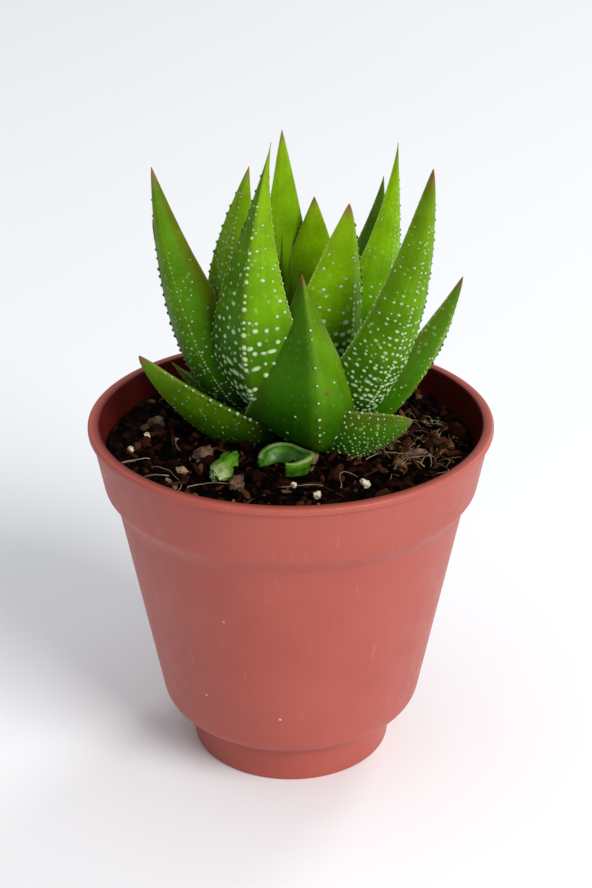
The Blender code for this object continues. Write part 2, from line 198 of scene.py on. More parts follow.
def terracotta_plastic():
    """Satin polypropylene: faint colour clouds, vertical scuffs, dust specks, fine tool grain, and an
    inside darkened as a damp stain and painted shade.
    """
    finish, tree, shader, place = new_finish("terracotta_plastic")
    clouds = grain(tree, (-1400, 300), place, 90, 4)
    colour = ramp(tree, (-1150, 300), clouds, [(0.3, (0.360, 0.070, 0.050)), (0.7, (0.395, 0.081, 0.059))])
    scuffs = grain(tree, (-1400, 0), place, 900, 2, 0.6, (1, 1, 0.12))
    scuff_mask = ramp(tree, (-1150, 0), scuffs, [(0.66, 0.0), (0.74, 1.0)])
    colour = blend_colours(tree, (-800, 250), 0.0, colour, (0.60, 0.25, 0.21, 1))
    scuff_share = node(tree, "Math", (-980, 60), operation="MULTIPLY", inputs={1: 0.14})
    tree.links.new(scuff_mask, scuff_share.inputs[0])
    tree.links.new(scuff_share.outputs[0], colour.node.inputs[0])
    dust = node(tree, "TexVoronoi", (-1400, -300), inputs={"Scale": 170.0, "Randomness": 1.0})
    tree.links.new(place, dust.inputs["Vector"])
    specks = ramp(tree, (-1150, -300), dust.outputs["Distance"], [(0.025, 1.0), (0.045, 0.0)])
    colour = blend_colours(tree, (-600, 200), specks, colour, (0.62, 0.40, 0.34, 1))
    # Inside the wall the colour goes near-black: a damp stain and painted shade of the deep pot.
    inside = node(tree, "Attribute", (-900, 500), attribute_name="inside").outputs["Fac"]
    stain_and_painted_shade = ramp(tree, (-900, 750), clouds, [(0.3, (0.050, 0.0035, 0.002)), (0.7, (0.11, 0.010, 0.006))])
    colour = blend_colours(tree, (-400, 300), inside, colour, stain_and_painted_shade)
    tree.links.new(colour, shader.inputs["Base Color"])
    sheen = ramp(tree, (-700, 500), inside, [(0.0, 0.35), (1.0, 0.08)])
    tree.links.new(sheen, shader.inputs["Specular IOR Level"])
    rough = ramp(tree, (-800, -100), grain(tree, (-1400, -550), place, 400, 5), [(0.3, 0.40), (0.7, 0.52)])
    tree.links.new(rough, shader.inputs["Roughness"])
    fine = bump(tree, (-500, -400), grain(tree, (-900, -500), place, 3500, 2), 0.00004, 0.5)
    waves = bump(tree, (-300, -400), grain(tree, (-900, -750), place, 120, 1), 0.0001, 0.4, fine)
    tree.links.new(waves, shader.inputs["Normal"])
    shader.inputs["Subsurface Weight"].default_value = 0.08
    shader.inputs["Subsurface Radius"].default_value = (1.0, 0.35, 0.2)
    shader.inputs["Subsurface Scale"].default_value = 0.0012
    return finish


def stand_for(piece, finish, slot, *nodes):
    """Give a finished piece its material and its body, and hide the CAD nodes that it stands for; slot is
    not used.
    """
    piece.data.materials.clear()
    piece.data.materials.append(finish)
    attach(piece, "root")
    if nodes:
        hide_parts(*nodes)


pot = turn_on_wheel("nursery_pot", rounded_section(POT_SECTION), POT_SEGMENTS)
DRAIN_HOLES = 6
HOLE_RADIUS = 1.5 * MM
HOLE_CIRCLE = 8 * MM
POT_FLOOR = 1.7 * MM
for hole in range(DRAIN_HOLES):
    turn = math.tau * hole / DRAIN_HOLES
    hole_place = (HOLE_CIRCLE * math.cos(turn), HOLE_CIRCLE * math.sin(turn), POT_FLOOR)
    bpy.ops.mesh.primitive_cylinder_add(vertices=32, radius=HOLE_RADIUS, depth=4 * MM, location=hole_place)
    drill = bpy.context.object
    select_only(pot)
    cut = pot.modifiers.new("drain", "BOOLEAN")
    cut.operation = "DIFFERENCE"
    cut.object = drill
    bpy.ops.object.modifier_apply(modifier=cut.name)
    bpy.data.objects.remove(drill)
# The inside of the wall is darkened, as a damp stain and painted shade: everything nearer the axis than the
# middle of the wall's thickness.
INSIDE_DARKENING_FADE = 0.3 * MM
wall_heights = np.array([1.7, 5.0, 7.0, 8.5, 39.3, 42.0, 49.6]) * MM
wall_middles = np.array([13.2, 13.9, 16.6, 17.7, 23.3, 24.9, 26.4]) * MM
inside = pot.data.attributes.new("inside", "FLOAT", "POINT")
for vertex, stain_and_shade_share in zip(pot.data.vertices, inside.data):
    depth = np.interp(vertex.co.z, wall_heights, wall_middles) - math.hypot(vertex.co.x, vertex.co.y)
    stain_and_shade_share.value = min(max(depth / INSIDE_DARKENING_FADE, 0), 1) if vertex.co.z > POT_FLOOR else 0
keep_smooth(pot)
stand_for(pot, terracotta_plastic(), "pot_plastic", "pot")

# ---------------------------------------------------------------------------------------------------------
# Soil. Damp peat and composted bark, pressed into the pot up to just under the rim. Its top is open and
# crumbly: dark lumps, red-brown bark, pale grit, mossy tufts and hair roots lie loose on it.
soil_low, soil_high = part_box("soil")
stem_low, stem_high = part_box("stem")
PLANT = Vector(((stem_low.x + stem_high.x) / 2, (stem_low.y + stem_high.y) / 2, 0))
SOIL_RADIUS = (soil_high.x - soil_low.x) / 2
SOIL_LEVEL = 46.4 * MM


def soil_height(x, y):
    """Height of the soil's top: a low mound round the plant, lumps and coarse grit."""
    mound = 1.3 * MM * math.exp(-(((x - PLANT.x) ** 2 + (y - PLANT.y) ** 2) / (11 * MM) ** 2))
    spot = Vector((x, y, 0))
    lumps = 0.5 * MM * noise.noise(spot / (4 * MM))
    clods = 0.7 * MM * noise.noise(spot / (1.6 * MM))
    grit = 0.35 * MM * noise.noise(spot / (0.6 * MM))
    return SOIL_LEVEL + mound + lumps + clods + grit


def damp_soil():
    """Near-black peat with red-brown and ochre patches, rough and crumbly."""
    finish, tree, shader, place = new_finish("damp_soil")
    patches = grain(tree, (-1400, 300), place, 700, 4, 0.65)
    colour = ramp(tree, (-1100, 300), patches, [
        (0.30, (0.001, 0.0004, 0.0003)), (0.50, (0.003, 0.0011, 0.0007)),
        (0.64, (0.024, 0.007, 0.003)), (0.80, (0.07, 0.028, 0.012))])
    crumbs = grain(tree, (-1100, -200), place, 2200, 5, 0.7)
    dress(tree, shader, colour, 0.8, bump(tree, (-700, -200), crumbs, 0.0004, 0.9))
    shader.inputs["Specular IOR Level"].default_value = 0.02
    return finish


outer_points = [(11.8, 2.7), (13.2, 6.2), (16.5, 7.3), (22.6, 40.3), (24.2, 42.6)]
soil_points = [Vector((0.3, 2.7)) * MM] + [Vector(point) * MM for point in outer_points]
SOIL_RINGS = 70
for ring in range(SOIL_RINGS):
    soil_points.append(Vector((SOIL_RADIUS * (1 - ring / SOIL_RINGS), SOIL_LEVEL)))
soil = turn_on_wheel("potting_soil", soil_points, 200)
for vertex in soil.data.vertices:
    if vertex.co.z > SOIL_LEVEL - 0.1 * MM:
        vertex.co.z = soil_height(vertex.co.x, vertex.co.y)
keep_smooth(soil, 60)
stand_for(soil, damp_soil(), "soil", "soil")

# Loose crumbs: one broken lump is shaped from a ball, and every crumb is a copy of it, turned and squashed
# its own way. The tone attribute is drawn once a crumb.
crumb_draw = random.Random(5)
CRUMBS = 1500
FLAKES = 240
FLAKES_ON_RIGHT = 130


def broken_lump(name, subdivisions, roughness, seed):
    """A ball pushed in and out into an uneven lump; returns its points and faces for copying."""
    bpy.ops.object.select_all(action="DESELECT")
    bpy.ops.mesh.primitive_ico_sphere_add(subdivisions=subdivisions, radius=1)
    lump = bpy.context.object
    lump.name = name
    for vertex in lump.data.vertices:
        bulge = noise.noise(vertex.co * 1.1 + Vector((seed, 0, 0))) + 0.5 * noise.noise(vertex.co * 2.7)
        vertex.co *= 1 + roughness * bulge
    points = np.array([vertex.co for vertex in lump.data.vertices])
    faces = [tuple(face.vertices) for face in lump.data.polygons]
    bpy.data.objects.remove(lump)
    return points, faces


def gather(name, copies, attributes):
    """One mesh out of many placed copies; copies are (points, faces, values for each attribute)."""
    all_points, all_faces = [], []
    values = {key: [] for key in attributes}
    offset = 0
    for points, faces, given in copies:
        all_points.append(points)
        all_faces += [tuple(number + offset for number in face) for face in faces]
        for key in attributes:
            value = given[key]
            values[key].append(np.broadcast_to(value, len(points)))
        offset += len(points)
    mesh = bpy.data.meshes.new(name)
    mesh.from_pydata(np.concatenate(all_points).tolist(), [], all_faces)
    for key in attributes:
        layer = mesh.attributes.new(key, "FLOAT", "POINT")
        layer.data.foreach_set("value", np.concatenate(values[key]).astype(np.float32))
    made = bpy.data.objects.new(name, mesh)
    bpy.context.scene.collection.objects.link(made)
    return made


def turned_at_random(draw):
    """A random turn, even over all directions."""
    axis = Vector((draw.gauss(0, 1), draw.gauss(0, 1), draw.gauss(0, 1))).normalized()
    return np.array(Matrix.Rotation(draw.uniform(0, math.tau), 3, axis))


def spot_on_soil(draw, margin):
    """A random place on the soil, even over its area."""
    radius = (SOIL_RADIUS - margin) * math.sqrt(draw.random())
    turn = draw.uniform(0, math.tau)
    return radius * math.cos(turn), radius * math.sin(turn)


lumps = [broken_lump("lump", 2, 0.45, seed) for seed in range(4)]
pebble = broken_lump("pebble", 1, 0.35, 9)
crumbs = []
for number in range(CRUMBS):
    size = min(3.0, 0.35 + crumb_draw.expovariate(2.1)) * MM / 2
    x, y = spot_on_soil(crumb_draw, size + 0.3 * MM)
    points, faces = lumps[number % 4] if size > 0.3 * MM else pebble
    shape = np.array([1, crumb_draw.uniform(0.55, 1.0), crumb_draw.uniform(0.4, 0.9)]) * size
    placed = (points * shape) @ turned_at_random(crumb_draw).T
    placed = placed + [x, y, soil_height(x, y) + 0.25 * size]
    crumbs.append((placed, faces, {"tone": crumb_draw.random() ** 1.25}))
for number in range(FLAKES):
    right_side = number < FLAKES_ON_RIGHT
    x = crumb_draw.gauss(17.0, 4.0) * MM if right_side else crumb_draw.uniform(-22, 22) * MM
    y = crumb_draw.gauss(-2.0, 5.0) * MM if right_side else crumb_draw.uniform(-22, 22) * MM
    if math.hypot(x, y) > SOIL_RADIUS - 1.6 * MM:
        continue
    length, width = crumb_draw.uniform(0.5, 1.7), crumb_draw.uniform(0.18, 0.45)
    shape = np.array([length, width, crumb_draw.uniform(0.07, 0.2)])
    pitch = Matrix.Rotation(crumb_draw.gauss(0, 0.35), 3, "Y")
    tilt = pitch @ Matrix.Rotation(crumb_draw.gauss(0, 0.4), 3, "X")
    turned = np.array(Matrix.Rotation(crumb_draw.uniform(0, math.tau), 3, "Z") @ tilt)
    points, faces = lumps[number % 4]
    height = soil_height(x, y) + crumb_draw.uniform(0.4, 1.1) * MM
    placed = (points * shape * MM) @ turned.T + [x, y, height]
    crumbs.append((placed, faces, {"tone": crumb_draw.uniform(0.62, 0.97)}))
soil_crumbs = gather("soil_crumbs", crumbs, ["tone"])


def crumb_mix():
    """Each crumb has its own tone, from black peat through red-brown bark to a few ochre bits."""
    finish, tree, shader, place = new_finish("crumb_mix")
    tone = node(tree, "Attribute", (-1500, 300), attribute_name="tone").outputs["Fac"]
    colour = ramp(tree, (-1250, 300), tone, [
        (0.0, (0.001, 0.0004, 0.0003)), (0.45, (0.003, 0.0011, 0.0007)), (0.66, (0.022, 0.0055, 0.003)),
        (0.86, (0.068, 0.021, 0.010)), (0.96, (0.15, 0.075, 0.032)), (1.0, (0.36, 0.25, 0.14))])
    shade = ramp(tree, (-1250, 0), grain(tree, (-1500, 0), place, 2600, 3), [(0.3, 0.45), (0.75, 1.0)])
    colour = blend_colours(tree, (-900, 200), 1.0, colour, shade, "MULTIPLY")
    rough = grain(tree, (-1250, -300), place, 3500, 3)
    dress(tree, shader, colour, 0.75, bump(tree, (-700, -250), rough, 0.0002, 0.8))
    shader.inputs["Specular IOR Level"].default_value = 0.02
    return finish


keep_smooth(soil_crumbs, 50)
stand_for(soil_crumbs, crumb_mix(), "soil")

# Hair roots and moss fibres: thin strands that wander over the crumbs and bow up off them.
fibre_draw = random.Random(23)
HAIR_ROOTS = 24
MOSS_FIBRES = 70


def strand(start_x, start_y, heading, length, bow, thickness):
    """Points and radii of one strand from a place on the soil."""
    count = 12
    points = []
    x, y = start_x, start_y
    for step in range(count):
        share = step / (count - 1)
        lift = 0.55 * MM + bow * math.sin(math.pi * share)
        height = soil_height(x, y) * 0.25 + SOIL_LEVEL * 0.75 + lift
        points.append(((x, y, height), thickness * (1 - 0.5 * share)))
        heading += fibre_draw.gauss(0, 0.28)
        x += length / count * math.cos(heading)
        y += length / count * math.sin(heading)
        if math.hypot(x, y) > SOIL_RADIUS - 0.8 * MM:
            heading += math.radians(100)
            x, y = points[-1][0][0], points[-1][0][1]
    return points


def strands(name, paths):
    """All the strands of one kind as one mesh, round in section and closed at their ends."""
    curve = bpy.data.curves.new(name, "CURVE")
    curve.dimensions = "3D"
    curve.bevel_depth = 1 * MM
    curve.bevel_resolution = 1
    curve.use_fill_caps = True
    for path in paths:
        spline = curve.splines.new("POLY")
        spline.points.add(len(path) - 1)
        for point, (place, radius) in zip(spline.points, path):
            point.co = (*place, 1)
            point.radius = radius
    drawn = bpy.data.objects.new(name, curve)
    bpy.context.scene.collection.objects.link(drawn)
    select_only(drawn)
    bpy.ops.object.convert(target="MESH")
    made = bpy.context.object
    bpy.ops.object.mode_set(mode="EDIT")
    bpy.ops.mesh.select_all(action="SELECT")
    bpy.ops.mesh.remove_doubles(threshold=0.001 * MM)
    bpy.ops.object.mode_set(mode="OBJECT")
    return made


def fibre_skin(name, dark, light):
    """Dry plant fibre that changes tone along its length."""
    finish, tree, shader, place = new_finish(name)
    tones = grain(tree, (-1300, 200), place, 500, 3)
    dress(tree, shader, ramp(tree, (-1000, 200), tones, [(0.35, dark), (0.65, light)]), 0.6)
    return finish


root_paths = []
for number in range(HAIR_ROOTS):
    x, y = spot_on_soil(fibre_draw, 2 * MM)
    root_paths.append(strand(x, y, fibre_draw.uniform(0, math.tau), fibre_draw.uniform(3, 9) * MM,
                             fibre_draw.uniform(0.2, 1.1) * MM, fibre_draw.uniform(0.04, 0.085)))
hair_roots = strands("hair_roots", root_paths)
keep_smooth(hair_roots, 60)
stand_for(hair_roots, fibre_skin("root_skin", (0.12, 0.07, 0.04), (0.36, 0.26, 0.16)), "soil")

moss_paths = []
for number in range(MOSS_FIBRES):
    x = fibre_draw.gauss(17, 3.6) * MM
    y = fibre_draw.gauss(-1, 4.5) * MM
    if math.hypot(x, y) < SOIL_RADIUS - 1.4 * MM:
        moss_paths.append(strand(x, y, fibre_draw.uniform(0, math.tau), fibre_draw.uniform(1.2, 3.6) * MM,
                                 fibre_draw.uniform(0.1, 0.8) * MM, fibre_draw.uniform(0.05, 0.12)))
moss = strands("moss_fibres", moss_paths)
keep_smooth(moss, 60)
stand_for(moss, fibre_skin("moss_skin", (0.06, 0.045, 0.012), (0.20, 0.16, 0.05)), "soil")

# ---------------------------------------------------------------------------------------------------------
# Stem. A short pithy stub that the leaves clasp; only its crown could ever be seen, deep in the rosette.
stem_finish = fibre_skin("stem_fibre", (0.05, 0.06, 0.015), (0.16, 0.17, 0.05))
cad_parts["stem"].data.materials.clear()
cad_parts["stem"].data.materials.append(stem_finish)

# ---------------------------------------------------------------------------------------------------------
# Leaves. Stiff, fleshy, pointed blades in a spiral round the stem: a flatter inner face, a keeled outer
# face and toothed margins. Raised white tubercles sit in cross rows on the outer face, larger ones in a row
# down the keel.
LEAF_AROUND = 44
LEAF_ALONG = 72
WIDEST_AT = 0.28
PLUMP = 0.4
SCARRED_LEAF = "leaf_10"
LEAF_VALUES = ["along", "warm_and_painted_light", "across", "tubercle", "keel", "blush", "speckle"]
# A row a leaf, from the heart outwards, as in the CAD: direction round the stem in degrees; in mm the tip's
# reach, the heights of base and tip, the outward bow, width and thickness; taper; twist in degrees; the
# tip's swing round the stem in mm; and where along its length it bends.
LEAVES = {
    "leaf_01": (200, 0.7, 52.5, 73.0, 0.2, 3.6, 1.6, 1.2, 0, 0, 0.28),
    "leaf_02": (150, 2.2, 51.8, 76.0, 0.5, 3.4, 1.6, 1.8, 0, 0, 0.28),
    "leaf_03": (113, 5.0, 51.5, 87.2, 0.8, 9.0, 2.8, 0.9, 0, 0, 0.28),
    "leaf_04": (56, 4.2, 51.0, 78.4, 1.0, 12.2, 2.8, 0.9, 36, 0, 0.28),
    "leaf_05": (313, 9.8, 50.6, 80.9, 0.6, 15.8, 3.8, 0.85, 0, 0, 0.28),
    "leaf_06": (196, 6.4, 50.4, 84.2, 5.0, 12.4, 3.2, 0.95, 44, 0, 0.28),
    "leaf_07": (238, 6.1, 50.0, 88.4, 7.4, 14.0, 4.8, 1.35, 10, 0, 0.28),
    "leaf_08": (16, 13.9, 49.8, 85.7, 4.0, 13.0, 3.4, 1.25, -66, 0, 0.28),
    "leaf_09": (134, 9.0, 49.6, 73.0, 3.4, 10.0, 3.0, 1.4, 0, 0, 0.28),
    "leaf_10": (275, 7.4, 49.6, 71.4, 8.1, 15.6, 5.6, 1.0, 0, 0, 0.28),
    "leaf_11": (318, 22.4, 49.4, 87.9, 5.8, 10.4, 4.4, 0.8, -25, 0, 0.28),
    "leaf_12": (42, 16.0, 49.0, 79.0, 4.0, 14.6, 3.2, 1.1, 0, 0, 0.28),
    "leaf_13": (190, 19.0, 48.8, 84.6, 4.8, 10.8, 4.8, 0.9, 66, 0, 0.2),
    "leaf_14": (88, 12.0, 48.6, 70.0, 4.4, 11.0, 3.2, 1.4, 0, 0, 0.28),
    "leaf_15": (163, 20.4, 48.4, 74.4, 4.0, 16.0, 3.4, 0.9, 0, 0, 0.28),
    "leaf_16": (346, 22.4, 48.6, 70.4, 5.0, 15.4, 4.4, 0.95, -30, 0, 0.28),
    "leaf_17": (208, 21.6, 48.6, 59.6, 3.3, 15.6, 4.2, 0.8, 15, -4.0, 0.28),
    "leaf_18": (120, 15.5, 47.8, 65.0, 3.8, 10.4, 3.2, 1.2, 0, 0, 0.28),
    "leaf_19": (66, 16.0, 47.8, 66.0, 4.0, 10.4, 3.2, 1.2, 0, 0, 0.28),
    "leaf_20": (300, 16.8, 46.5, 52.0, 0.0, 14.6, 4.6, 0.85, -32, 8.0, 0.85),
    "leaf_21": (22, 18.5, 47.4, 57.0, 3.0, 9.6, 3.2, 1.2, 0, 0, 0.28),
    "leaf_22": (168, 17.8, 47.2, 54.3, 2.4, 9.4, 3.0, 1.2, 0, 0, 0.28),
}
# Each leaf's skin: tubercle size and row spacing in mm; how full the rows are on the left and on the right
# of the keel; how far up they reach; tooth size in mm on the left and right margin; how far the keel sits
# off the middle and how sharp it is; how yellow and bright the green is, partly its own hue and partly
# painted light; how much yellower and brighter it is right of the keel than left of it, as painted light;
# and how red the margins are.
SKINS = {
    "leaf_01": (0.26, 1.6, 0.6, 0.6, 0.9, 0.24, 0.24, 0.0, 0.3, 0.7, 0.0, 0.3),
    "leaf_02": (0.18, 2.2, 0.3, 0.3, 0.7, 0.12, 0.12, 0.0, 0.3, 0.5, 0.0, 1.0),
    "leaf_03": (0.44, 2.0, 0.4, 0.4, 0.5, 0.16, 0.16, 0.0, 0.2, 1.0, 0.0, 0.2),
    "leaf_04": (0.50, 1.9, 0.6, 0.6, 0.7, 0.26, 0.34, 0.0, 0.2, 1.0, 0.0, 0.3),
    "leaf_05": (1.05, 1.65, 0.75, 0.6, 0.82, 0.36, 0.90, 0.30, 0.4, 1.0, 0.0, 0.3),
    "leaf_06": (0.66, 1.10, 1.0, 0.2, 0.95, 0.66, 0.20, 0.1, 0.5, 1.0, 0.1, 0.2),
    "leaf_07": (0.88, 1.55, 0.85, 0.75, 0.86, 0.60, 0.42, 0.06, 0.8, 0.68, 0.30, 0.1),
    "leaf_08": (0.54, 1.25, 0.45, 1.0, 0.88, 0.20, 0.42, 0.0, 0.5, 0.95, 0.0, 0.1),
    "leaf_09": (0.60, 1.6, 0.7, 0.7, 0.90, 0.40, 0.40, 0.0, 0.4, 0.6, 0.0, 0.3),
    "leaf_10": (0.50, 1.6, 0.14, 0.20, 0.95, 0.18, 0.44, 0.22, 0.6, 0.22, 0.18, 0.25),
    "leaf_11": (0.64, 1.12, 1.0, 1.0, 0.88, 0.40, 0.50, 0.0, 0.1, 0.6, 0.0, 0.05),
    "leaf_12": (0.44, 1.8, 0.5, 0.5, 0.85, 0.32, 0.32, 0.0, 0.4, 0.3, 0.0, 0.3),
    "leaf_13": (0.46, 1.1, 0.85, 0.40, 0.82, 0.62, 0.24, 0.0, 0.2, 0.42, -0.1, 0.8),
    "leaf_14": (0.60, 1.6, 0.7, 0.7, 0.90, 0.40, 0.40, 0.0, 0.4, 0.6, 0.0, 0.3),
    "leaf_15": (0.50, 1.8, 0.5, 0.5, 0.80, 0.46, 0.36, 0.0, 0.4, 0.2, 0.0, 1.0),
    "leaf_16": (0.40, 1.2, 0.6, 0.7, 0.92, 0.44, 0.50, -0.35, 0.6, 0.36, 0.26, 0.4),
    "leaf_17": (0.38, 1.4, 0.45, 0.6, 0.90, 0.32, 0.60, 0.0, 0.35, 0.62, -0.28, 0.3),
    "leaf_18": (0.56, 1.6, 0.7, 0.7, 0.90, 0.42, 0.42, 0.0, 0.4, 0.4, 0.0, 0.4),
    "leaf_19": (0.56, 1.6, 0.7, 0.7, 0.90, 0.42, 0.42, 0.0, 0.4, 0.4, 0.0, 0.4),
    "leaf_20": (0.48, 0.85, 0.95, 0.8, 0.95, 0.58, 0.40, 0.0, 0.4, 0.30, 0.22, 0.5),
    "leaf_21": (0.56, 1.6, 0.7, 0.7, 0.90, 0.42, 0.42, 0.0, 0.4, 0.4, 0.0, 0.4),
    "leaf_22": (0.50, 1.6, 0.5, 0.5, 0.90, 0.40, 0.40, 0.0, 0.4, 0.2, 0.0, 0.6),
}


def midrib(leaf, along):
    """Point, direction and sideways direction on a leaf's middle line."""
    turn, reach, base_z, tip_z, bow = leaf[:5]
    twist, swing, bend_at = leaf[8:11]
    angle = math.radians(turn)
    out = Vector((math.cos(angle), math.sin(angle), 0))
    round_stem = Vector((-math.sin(angle), math.cos(angle), 0))
    base = PLANT + Vector((0, 0, base_z * MM)) + out * 0.8 * MM
    tip = PLANT + Vector((0, 0, tip_z * MM)) + out * reach * MM
    chord = tip - base
    away = chord.cross(round_stem).normalized()
    if away.dot(out) < 0:
        away.negate()
    middle = base + chord * bend_at + away * bow * 2 * MM
    sideways = round_stem * swing * MM
    point = base * (1 - along) ** 2 + middle * 2 * along * (1 - along) + (tip + sideways) * along ** 2
    heading = ((middle - base) * (1 - along) + (tip - middle + sideways) * along).normalized()
    side = (round_stem - heading * round_stem.dot(heading)).normalized()
    return point, heading, Matrix.Rotation(math.radians(twist), 3, heading) @ side


def blade_width(along, taper):
    """Share of the full width, from the base at 0 to the point at 1."""
    if along < WIDEST_AT:
        return 1 - 0.5 * (1 - along / WIDEST_AT) ** 1.6
    left = (1 - along) / (1 - WIDEST_AT)
    return math.sin(math.pi / 2 * left) ** taper


def on_leaf(leaf, keel, along, across, outer):
    """Point on the skin: along is 0 to 1, across is -1 to 1, on the outer or the inner face."""
    width, thickness, taper = leaf[5:8]
    point, heading, side = midrib(leaf, along)
    out = side.cross(heading).normalized()
    share = blade_width(along, taper)
    half = max(width / 2 * share, 0.05) * MM
    deep = max(thickness * share ** 0.7, 0.09) * MM
    inner_share = 0.18 + 0.22 * along
    if outer:
        keel_off, keel_sharp = keel
        off = across - keel_off * (1 - across * across)
        fold = 2.3 - 1.0 * keel_sharp
        ridge = 0.12 * keel_sharp * math.exp(-(off / 0.08) ** 2) * (1 - across * across)
        plump = 1 + PLUMP * min(1, along / 0.35) ** 2
        rise = plump * deep * (1 - inner_share) * (1 - (off * off + 0.004) ** (fold / 2) * 0.996 + ridge)
        rise = max(rise, 0)
    else:
        rise = -deep * inner_share * (1 - across * across) * (0.75 + 0.5 * across * across)
    ripple = 0.10 * MM * noise.noise(point / (3.2 * MM) + side * across * 2) * min(1, half / MM / 2)
    return point + side * (half * across) + out * (rise + ripple * (1 if outer else -1))


def skin_frame(leaf, keel, along, across, outer):
    """Point on the skin with the directions round, along and off it."""
    here = on_leaf(leaf, keel, along, across, outer)
    ahead = on_leaf(leaf, keel, min(along + 0.01, 0.999), across, outer) - here
    right_of_it = on_leaf(leaf, keel, along, min(across + 0.03, 1.0), outer)
    round_it = right_of_it - on_leaf(leaf, keel, along, max(across - 0.03, -1.0), outer)
    off = round_it.cross(ahead).normalized()
    if not outer:
        off.negate()
    return here, round_it.normalized(), ahead.normalized(), off


def leaf_blank():
    """A tall tube cut into rings: the blank that every leaf is drawn from."""
    bpy.ops.object.select_all(action="DESELECT")
    bpy.ops.mesh.primitive_cylinder_add(vertices=LEAF_AROUND, radius=1, depth=1, location=(0, 0, 0.5))
    blank = bpy.context.object
    bpy.ops.object.transform_apply(location=True, rotation=True, scale=True)
    bpy.ops.object.mode_set(mode="EDIT")
    bpy.ops.mesh.select_mode(type="EDGE")
    bpy.ops.mesh.select_all(action="DESELECT")
    bpy.ops.object.mode_set(mode="OBJECT")
    for edge in blank.data.edges:
        low, high = (blank.data.vertices[number].co for number in edge.vertices)
        edge.select = abs(low.z - high.z) > 0.5
    bpy.ops.object.mode_set(mode="EDIT")
    bpy.ops.mesh.subdivide(number_cuts=LEAF_ALONG)
    bpy.ops.object.mode_set(mode="OBJECT")
    return blank


def dome():
    """A tubercle: the top of a small ball with its skirt flared out; returns points, faces and heights."""
    bpy.ops.object.select_all(action="DESELECT")
    bpy.ops.mesh.primitive_uv_sphere_add(segments=10, ring_count=8, radius=1)
    ball = bpy.context.object
    bpy.ops.object.mode_set(mode="EDIT")
    bpy.ops.mesh.select_all(action="SELECT")
    bpy.ops.mesh.bisect(plane_co=(0, 0, -0.05), plane_no=(0, 0, 1), clear_inner=True)
    bpy.ops.object.mode_set(mode="OBJECT")
    for vertex in ball.data.vertices:
        if vertex.co.z < 0.05:
            vertex.co.x *= 1.22
            vertex.co.y *= 1.22
    points = np.array([vertex.co for vertex in ball.data.vertices])
    faces = [tuple(face.vertices) for face in ball.data.polygons]
    bpy.data.objects.remove(ball)
    return points, faces, np.clip(points[:, 2] * 1.2 - 0.05, 0, 1)


def leaf_noise(tree, place, value, along_rate, across_rate):
    """Noise in the leaf's own directions, so it can be drawn out across the leaf or along it."""
    joined = node(tree, "CombineXYZ", (place[0] - 200, place[1]))
    for number, (key, rate) in enumerate((("along", along_rate), ("across", across_rate), ("blush", 20.0))):
        scaled = node(tree, "Math", (place[0] - 400, place[1] - 60 * number), operation="MULTIPLY",
                      inputs={1: rate})
        tree.links.new(value[key], scaled.inputs[0])
        tree.links.new(scaled.outputs[0], joined.inputs[number])
    made = node(tree, "TexNoise", place, inputs={"Scale": 1.0, "Detail": 3.0})
    tree.links.new(joined.outputs[0], made.inputs["Vector"])
    return made.outputs["Fac"]


